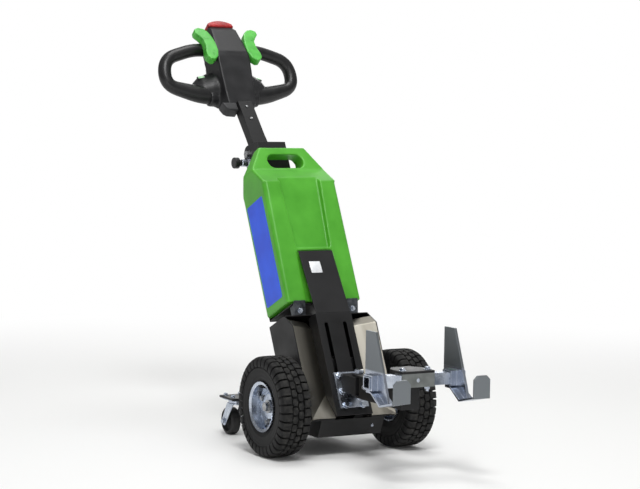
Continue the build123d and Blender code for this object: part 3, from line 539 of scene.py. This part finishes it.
barBolts = {"x": 36.0, "y": -370.0, "top": 260.0, "under": 220.0, "across": 13.0, "headTall": 5.5,
            "nutTall": 6.5, "studRadius": 4.0, "studLong": 13.0}
bm = bmesh.new()
for way in (-1, 1):
    headBase = seat(upright, (way * barBolts["x"], barBolts["y"], barBolts["top"]), (0, 0, 1), 9 * way)
    addHexBolt(bm, headBase, barBolts["across"], barBolts["headTall"])
    nutBase = seat(upright, (way * barBolts["x"], barBolts["y"], barBolts["under"]), (0, 0, -1))
    addTurned(bm, [(barBolts["studRadius"], 0), (barBolts["studRadius"], barBolts["studLong"])], nutBase, 16)
    addHexBolt(bm, nutBase, barBolts["across"], barBolts["nutTall"])
newPiece("crossbar_bolts", bm, "bright zinc plate", "hitch", smooth=False)

drawbarBolts = {"x": 26.0, "y": -177.0, "z": 193.0, "across": 10.0, "tall": 4.5, "turn": 10.0}
bm = bmesh.new()
for way in (-1, 1):
    base = seat(upright, (way * drawbarBolts["x"], drawbarBolts["y"], drawbarBolts["z"]), (way, 0, 0),
                drawbarBolts["turn"])
    addHexBolt(bm, base, drawbarBolts["across"], drawbarBolts["tall"])
newPiece("drawbar_bolts", bm, "bright zinc plate", "hitch", smooth=False)

noseBolt = {"place": (62.0, -72.8, 75.0), "facing": (0, -0.923, -0.385), "radius": 4.5}
bm = bmesh.new()
addDomeScrew(bm, seat(upright, noseBolt["place"], noseBolt["facing"]), noseBolt["radius"])
newPiece("nose_bolt", bm, "bright zinc plate", "frame")
print("hitch fittings ready")


# Battery box: blank film on its left side, blank label on the front plate, latch bolts.

sideFilm = {"wide": 92.0, "high": 288.0, "middle": (-24.0, 433.0), "face": 112.0, "sunk": -0.5, "thick": 0.5,
            "corner": 5.0, "chamfer": 0.2}
bm = bmesh.new()
across, along = sideFilm["middle"]
sideways = Matrix.Rotation(math.radians(-90), 4, "Y")
filmBase = mast @ Matrix.Translation((-sideFilm["face"], along, across)) @ sideways
addPad(bm, sideFilm["wide"], sideFilm["high"], sideFilm["sunk"], sideFilm["thick"], filmBase,
       sideFilm["corner"], sideFilm["chamfer"])
newPiece("side_film", bm, "blue vinyl film", "frame", smooth=False)

frontLabel = {"wide": 33.0, "high": 34.0, "middle": (-13.0, 357.0), "low": (222.0, 73.0),
              "top": (406.0, 49.0), "sunk": -0.3, "thick": 0.4, "corner": 1.5, "chamfer": 0.15}
rise = frontLabel["top"][0] - frontLabel["low"][0]
fall = frontLabel["low"][1] - frontLabel["top"][1]
labelX, labelS = frontLabel["middle"]
labelN = frontLabel["low"][1] - (labelS - frontLabel["low"][0]) * fall / rise
lay = Matrix.Rotation(-math.atan2(fall, rise), 4, "X")
labelBase = mast @ Matrix.Translation((labelX, labelS, labelN)) @ lay
bm = bmesh.new()
addPad(bm, frontLabel["wide"], frontLabel["high"], frontLabel["sunk"], frontLabel["thick"], labelBase,
       frontLabel["corner"], frontLabel["chamfer"])
newPiece("front_label", bm, "white vinyl film", "frame")

latchBolts = {"x": 80.0, "s": 241.0, "n": 43.0, "slope": (0, -9, 22), "across": 10.0, "tall": 5.0,
              "turn": 7.0}
bm = bmesh.new()
for way in (-1, 1):
    spot = (way * latchBolts["x"], latchBolts["s"], latchBolts["n"])
    addHexBolt(bm, seat(mast, spot, latchBolts["slope"], latchBolts["turn"]), latchBolts["across"],
               latchBolts["tall"])
newPiece("latch_bolts", bm, "bright zinc plate", "frame", smooth=False)

panelScrews = {"x": 108.0, "s": (58.0, 205.0), "n": -52.0, "radius": 5.0}
bm = bmesh.new()
for way in (-1, 1):
    for s in panelScrews["s"]:
        base = seat(mast, (way * panelScrews["x"], s, panelScrews["n"]), (0, 0, -1))
        addDomeScrew(bm, base, panelScrews["radius"])
newPiece("panel_screws", bm, "turned steel", "frame")
print("body fittings ready")


# Tiller: moulded head, padded loop, thumb paddles, blank plate, rockers, tube screws, plunger collar.

headBuild = {
    "voxelMm": 2.2, "rounds": 9,
    # t, back m, front m, half width at the back and at the front
    "body": [(186, -34, 1, 50, 43), (222, -56, 12, 58, 46), (286, -54, 33, 64, 50), (330, -34, 47, 60, 51),
             (345, -32, 50, 57, 50), (432, -24, 46, 49, 41), (450, -20, 36, 46, 39)],
    # x, middle t, middle m, half length along t, half depth along m
    "wing": [(40, 274, -24, 44, 34), (70, 275, -28, 42, 31), (96, 273, -34, 36, 25), (114, 266, -40, 27, 17),
             (125, 258, -44, 14, 8)],
    # middle t, middle m, half length along t, half depth along m, end x
    "sleeve": (243.7, -37.7, 29.0, 25.0, 77.0),
}
loopBuild = {
    "middle": (652.0, 990.0), "leanDegrees": 20.0, "tube": 19.0, "palm": (28.2, 24.2), "palmStart": 190.0,
    "palmFull": 82.0, "ringPoints": 28,
    # corners of the loop and how far from each the bend starts, in mm
    "corners": [(105, -62, 30), (207, -36, 38), (200, 44, 38), (105, 75, 30), (-105, 75, 30), (-200, 44, 38),
                (-207, -36, 38), (-105, -62, 30)],
}
paddleBuild = {
    "voxelMm": 1.5, "rounds": 9, "back": 28.0, "front": 53.0,
    "outline": [(68, 310), (79, 312), (87, 322), (88, 338), (82, 360), (82, 384), (92, 400), (101, 411),
                (99, 424), (86, 430), (70, 426), (59, 415), (52, 398), (47, 374), (47, 344), (54, 322)],
}


def addLoft(bm, rings):  # rings of points, closed at both ends
    rows = [[bm.verts.new(point) for point in ring] for ring in rings]
    count = len(rows[0])
    for one, other in zip(rows, rows[1:]):
        for k in range(count):
            bm.faces.new((one[k], one[(k + 1) % count], other[(k + 1) % count], other[k]))
    bm.faces.new(rows[0][::-1])
    bm.faces.new(rows[-1])


def ellipseRing(base, x, t, m, halfT, halfM, points=28):  # a ring round the base's X axis
    turns = [math.tau * k / points for k in range(points)]
    return [base @ Vector((x, t + halfT * math.cos(a), m + halfM * math.sin(a))) for a in turns]


bm = bmesh.new()
addLoft(bm, [[tiller @ Vector(corner) for corner in
              [(-back, t, low), (back, t, low), (front, t, high), (-front, t, high)]]
             for t, low, high, back, front in headBuild["body"]])
for way in (-1, 1):
    addLoft(bm, [ellipseRing(tiller, way * x, *rest) for x, *rest in headBuild["wing"]])
sleeveT, sleeveM, sleeveTall, sleeveDeep, sleeveEnd = headBuild["sleeve"]
addLoft(bm, [ellipseRing(tiller, way * sleeveEnd, sleeveT, sleeveM, sleeveTall, sleeveDeep)
             for way in (-1, 1)])
head = newPiece("tiller_head_shell", bm, "moulded black ABS", "tiller")
mouldForm(head, headBuild["voxelMm"], headBuild["rounds"])
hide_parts("tiller_head")


def bendPoints(before, corner, after, reach, count=9):  # a bend that starts and ends reach from the corner
    start = corner + (before - corner).normalized() * reach
    end = corner + (after - corner).normalized() * reach
    shares = [k / (count - 1) for k in range(count)]
    return [start * (1 - f) ** 2 + corner * 2 * f * (1 - f) + end * f * f for f in shares]


def loopRings(build):
    lean = math.radians(build["leanDegrees"])
    up = Vector((0, math.sin(lean), math.cos(lean)))
    out = Vector((0, -math.cos(lean), math.sin(lean)))
    y, z = build["middle"]
    middle = upright @ Vector((0, y, z))
    corners = [Vector((x, u)) for x, u, _ in build["corners"]]
    path = []
    for i, (_, _, reach) in enumerate(build["corners"]):
        path += bendPoints(corners[i - 1], corners[i], corners[(i + 1) % len(corners)], reach)
    palmTall, palmDeep = build["palm"]
    rings = []
    for i, point in enumerate(path):
        run = (path[(i + 1) % len(path)] - path[i - 1]).normalized()
        across = Vector((run.y, -run.x))
        share = 0.0
        if point.y < 0:
            share = (build["palmStart"] - abs(point.x)) / (build["palmStart"] - build["palmFull"])
            share = min(max(share, 0.0), 1.0)
        tall = build["tube"] + (palmTall - build["tube"]) * share
        deep = build["tube"] + (palmDeep - build["tube"]) * share
        ring = []
        for k in range(build["ringPoints"]):
            angle = math.tau * k / build["ringPoints"]
            flat = point + across * tall * math.cos(angle)
            place = (Vector((1, 0, 0)) * flat.x + up * flat.y + out * deep * math.sin(angle)) * mm
            ring.append(middle + place)
        rings.append(ring)
    return rings


bm = bmesh.new()
rows = [[bm.verts.new(point) for point in ring] for ring in loopRings(loopBuild)]
for one, other in zip(rows, rows[1:] + rows[:1]):
    for k in range(loopBuild["ringPoints"]):
        nextK = (k + 1) % loopBuild["ringPoints"]
        bm.faces.new((one[k], one[nextK], other[nextK], other[k]))
loop = newPiece("grip_loop", bm, "foamed grip rubber", "tiller")
rounding = loop.modifiers.new("smooth bends", "SUBSURF")
rounding.levels = 1
rounding.render_levels = 1
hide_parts("loop_handle")

for sideName, sx in sides.items():
    bm = bmesh.new()
    addLoft(bm, [[tiller @ Vector((sx * x, t, m)) for x, t in paddleBuild["outline"]]
                 for m in (paddleBuild["back"], paddleBuild["front"])])
    paddle = newPiece("thumb_paddle_" + sideName, bm, "moulded green ABS", "tiller")
    mouldForm(paddle, paddleBuild["voxelMm"], paddleBuild["rounds"])
    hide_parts("drive_paddle_" + sideName)

headPlate = {"wide": 72.0, "high": 24.0, "t": 358.0, "m": 48.4, "tilt": -2.5, "sunk": -1.0, "thick": 0.7,
             "corner": 4.0, "chamfer": 0.5}
bm = bmesh.new()
plateBase = tiller @ Matrix.Translation((0, headPlate["t"], headPlate["m"])) @ Matrix.Rotation(
    math.radians(headPlate["tilt"]), 4, "X")
addPad(bm, headPlate["wide"], headPlate["high"], headPlate["sunk"], headPlate["thick"], plateBase,
       headPlate["corner"], headPlate["chamfer"])
newPiece("head_blank_plate", bm, "black film", "tiller")

rockers = {"x": 88.0, "t": 297.0, "m": -14.5, "facing": (0.22, 0.50, 0.84), "wide": 25.0, "high": 13.0,
           "rim": 3.0, "turn": 28.0, "sunk": -2.0, "rimTop": 1.6, "top": 3.6}
for sideName, sx in sides.items():
    facingX, facingT, facingM = rockers["facing"]
    base = seat(tiller, (sx * rockers["x"], rockers["t"], rockers["m"]), (sx * facingX, facingT, facingM),
                sx * rockers["turn"])
    bm = bmesh.new()
    addPad(bm, rockers["wide"] + 2 * rockers["rim"], rockers["high"] + 2 * rockers["rim"], rockers["sunk"],
           rockers["rimTop"], base, corner=4.5, chamfer=0.8)
    newPiece("rocker_bezel_" + sideName, bm, "black film", "tiller")
    bm = bmesh.new()
    addPad(bm, rockers["wide"], rockers["high"], 0.0, rockers["top"], base, corner=4.0, chamfer=1.4)
    newPiece("rocker_" + sideName, bm, "pale rocker ABS", "tiller")

tubeScrews = {"t": (120.0, 165.0), "m": 15.0, "radius": 4.5}
bm = bmesh.new()
for t in tubeScrews["t"]:
    addDomeScrew(bm, seat(tiller, (0, t, tubeScrews["m"]), (0, 0, 1)), tubeScrews["radius"])
newPiece("tube_screws", bm, "turned steel", "tiller")

# rings of radius and height: the hexagon, then the round barrel
collar = {"place": (-44.0, 435.0, 742.0), "hexagon": [(13, 0), (13, 5), (11.5, 6.5)],
          "barrel": [(10.6, 6), (10.6, 22), (9.4, 24)]}
bm = bmesh.new()
collarBase = seat(upright, collar["place"], (-1, 0, 0))
addTurned(bm, collar["hexagon"], collarBase, 6)
addTurned(bm, collar["barrel"], collarBase, 28)
newPiece("plunger_collar", bm, "bright zinc plate", "frame", smooth=False)
print("tiller fittings ready")


# Castors: plate bolts through the beam and axle nuts.

castorFittings = {"plateBolt": 22.0, "beamTop": 110.0, "boltAcross": 10.0, "boltTall": 5.0, "axleEnd": 21.5,
                  "nutAcross": 13.0, "nutTall": 5.0}
for sideName, sx in sides.items():
    stem = jointPlace["castor_" + sideName + "_swivel"]
    bm = bmesh.new()
    for dx in (-1, 1):
        for dy in (-1, 1):
            spot = ((stem.x / mm) + dx * castorFittings["plateBolt"],
                    (stem.y - axlePlace.y) / mm + dy * castorFittings["plateBolt"],
                    castorFittings["beamTop"])
            addHexBolt(bm, seat(upright, spot, (0, 0, 1), 13 * dx), castorFittings["boltAcross"],
                       castorFittings["boltTall"])
    newPiece("castor_plate_bolts_" + sideName, bm, "bright zinc plate", "frame", smooth=False)
    roll = jointPlace["castor_" + sideName + "_roll"]
    bm = bmesh.new()
    for way in (-1, 1):
        base = Matrix.Translation(roll) @ Matrix.Scale(mm, 4)
        addHexBolt(bm, seat(base, (way * castorFittings["axleEnd"], 0, 0), (way, 0, 0), 20),
                   castorFittings["nutAcross"], castorFittings["nutTall"])
    newPiece("castor_axle_nuts_" + sideName, bm, "bright zinc plate", "swivel_" + sideName,
             smooth=False)
print("castor fittings ready")


# Studio: pale floor, white surround, soft lights, the photograph's camera.

studio = {
    "floorRadius": 30.0, "fadeStart": 1.2, "fadeEnd": 3.2, "floorHex": "F1F1F0",
    "skyLow": 0.20, "skyHigh": 0.50,
    # place, aim, size, watts
    "lights": {
        "keyLight": ((-0.9, -1.9, 3.7), (0, 0, 0.55), 1.3, 78),
        "fillLight": ((-3.2, -3.4, 0.9), (0, 0, 0.5), 2.0, 16),
        "topLight": ((0.3, 0.4, 3.6), (0, 0, 0.6), 1.4, 34),
        "backLight": ((1.8, 3.0, 2.0), (0, 0, 0.6), 1.8, 30),
    },
}


def addStage(name, bm, material):
    mesh = bpy.data.meshes.new(name)
    bm.to_mesh(mesh)
    bm.free()
    mesh.materials.append(material)
    stagePiece = bpy.data.objects.new(name, mesh)
    bpy.context.scene.collection.objects.link(stagePiece)
    return stagePiece


def makeFloorPaint(look):  # matt pale paint that fades to plain white away from the object
    material, tree = startMaterial("pale floor paint")
    place = addNode(tree, "ShaderNodeTexCoord").outputs["Object"]
    distance = addNode(tree, "ShaderNodeVectorMath", {"operation": "LENGTH"}, {0: place})
    fade = addNode(tree, "ShaderNodeMapRange",
                   {"interpolation_type": "SMOOTHSTEP", "From Min": look["fadeStart"],
                    "From Max": look["fadeEnd"]},
                   {"Value": distance.outputs["Value"]})
    paint = addNode(tree, "ShaderNodeBsdfDiffuse", {"Color": hexColour(look["floorHex"])})
    glow = addNode(tree, "ShaderNodeEmission", {"Strength": 1.0})
    mixed = addNode(tree, "ShaderNodeMixShader", None,
                    {0: fade.outputs[0], 1: paint.outputs[0], 2: glow.outputs[0]})
    addNode(tree, "ShaderNodeOutputMaterial", None, {"Surface": mixed.outputs[0]})
    return material


floorPaint = makeFloorPaint(studio)
bm = bmesh.new()
bmesh.ops.create_circle(bm, cap_ends=True, segments=96, radius=studio["floorRadius"])
addStage("studio_floor", bm, floorPaint)

surroundPaint, surroundTree = startMaterial("white surround")
surroundGlow = addNode(surroundTree, "ShaderNodeEmission", {"Strength": 1.0})
addNode(surroundTree, "ShaderNodeOutputMaterial", None, {"Surface": surroundGlow.outputs[0]})
bm = bmesh.new()
bmesh.ops.create_uvsphere(bm, u_segments=48, v_segments=24, radius=studio["floorRadius"])
surround = addStage("studio_surround", bm, surroundPaint)
surround.visible_diffuse = False
surround.visible_glossy = False
surround.visible_shadow = False
surround.visible_transmission = False

world = bpy.data.worlds.new("studio air")
bpy.context.scene.world = world
world.use_nodes = True
sky = world.node_tree
sky.nodes.clear()
direction = addNode(sky, "ShaderNodeTexCoord").outputs["Generated"]
skyAxes = addNode(sky, "ShaderNodeSeparateXYZ", None, {0: direction})
skyLevel = addNode(sky, "ShaderNodeMapRange", {"From Min": -0.1, "From Max": 0.9, "To Min": studio["skyLow"],
                   "To Max": studio["skyHigh"]}, {"Value": skyAxes.outputs["Z"]})
background = addNode(sky, "ShaderNodeBackground", {"Color": (1, 1, 1, 1)}, {"Strength": skyLevel.outputs[0]})
addNode(sky, "ShaderNodeOutputWorld", None, {"Surface": background.outputs[0]})

for name, (place, aim, size, watts) in studio["lights"].items():
    lamp = bpy.data.lights.new(name, "AREA")
    lamp.shape = "SQUARE"
    lamp.size = size
    lamp.energy = watts
    light = bpy.data.objects.new(name, lamp)
    light.location = place
    light.rotation_euler = (Vector(aim) - Vector(place)).to_track_quat("-Z", "Y").to_euler()
    light.visible_camera = False
    bpy.context.scene.collection.objects.link(light)

bpy.context.scene.view_settings.view_transform = "Standard"

photoCamera = {"place": (-2.4346, -4.2784, 0.8721), "forward": (0.47959, 0.87439, -0.07365),
               "rollDegrees": 0.819, "lens": 103.94, "shift": (0.0550, 0.0137)}
cameraData = bpy.data.cameras.new("photoCamera")
cameraData.sensor_width = 36.0
cameraData.lens = photoCamera["lens"]
cameraData.shift_x, cameraData.shift_y = photoCamera["shift"]
cameraData.clip_end = 200.0
camera = bpy.data.objects.new("photoCamera", cameraData)
camera.location = photoCamera["place"]
facing = Vector(photoCamera["forward"]).to_track_quat("-Z", "Y")
camera.rotation_mode = "QUATERNION"
camera.rotation_quaternion = facing @ Quaternion((0, 0, 1), math.radians(photoCamera["rollDegrees"]))
bpy.context.scene.collection.objects.link(camera)
bpy.context.scene.camera = camera
print("studio ready")
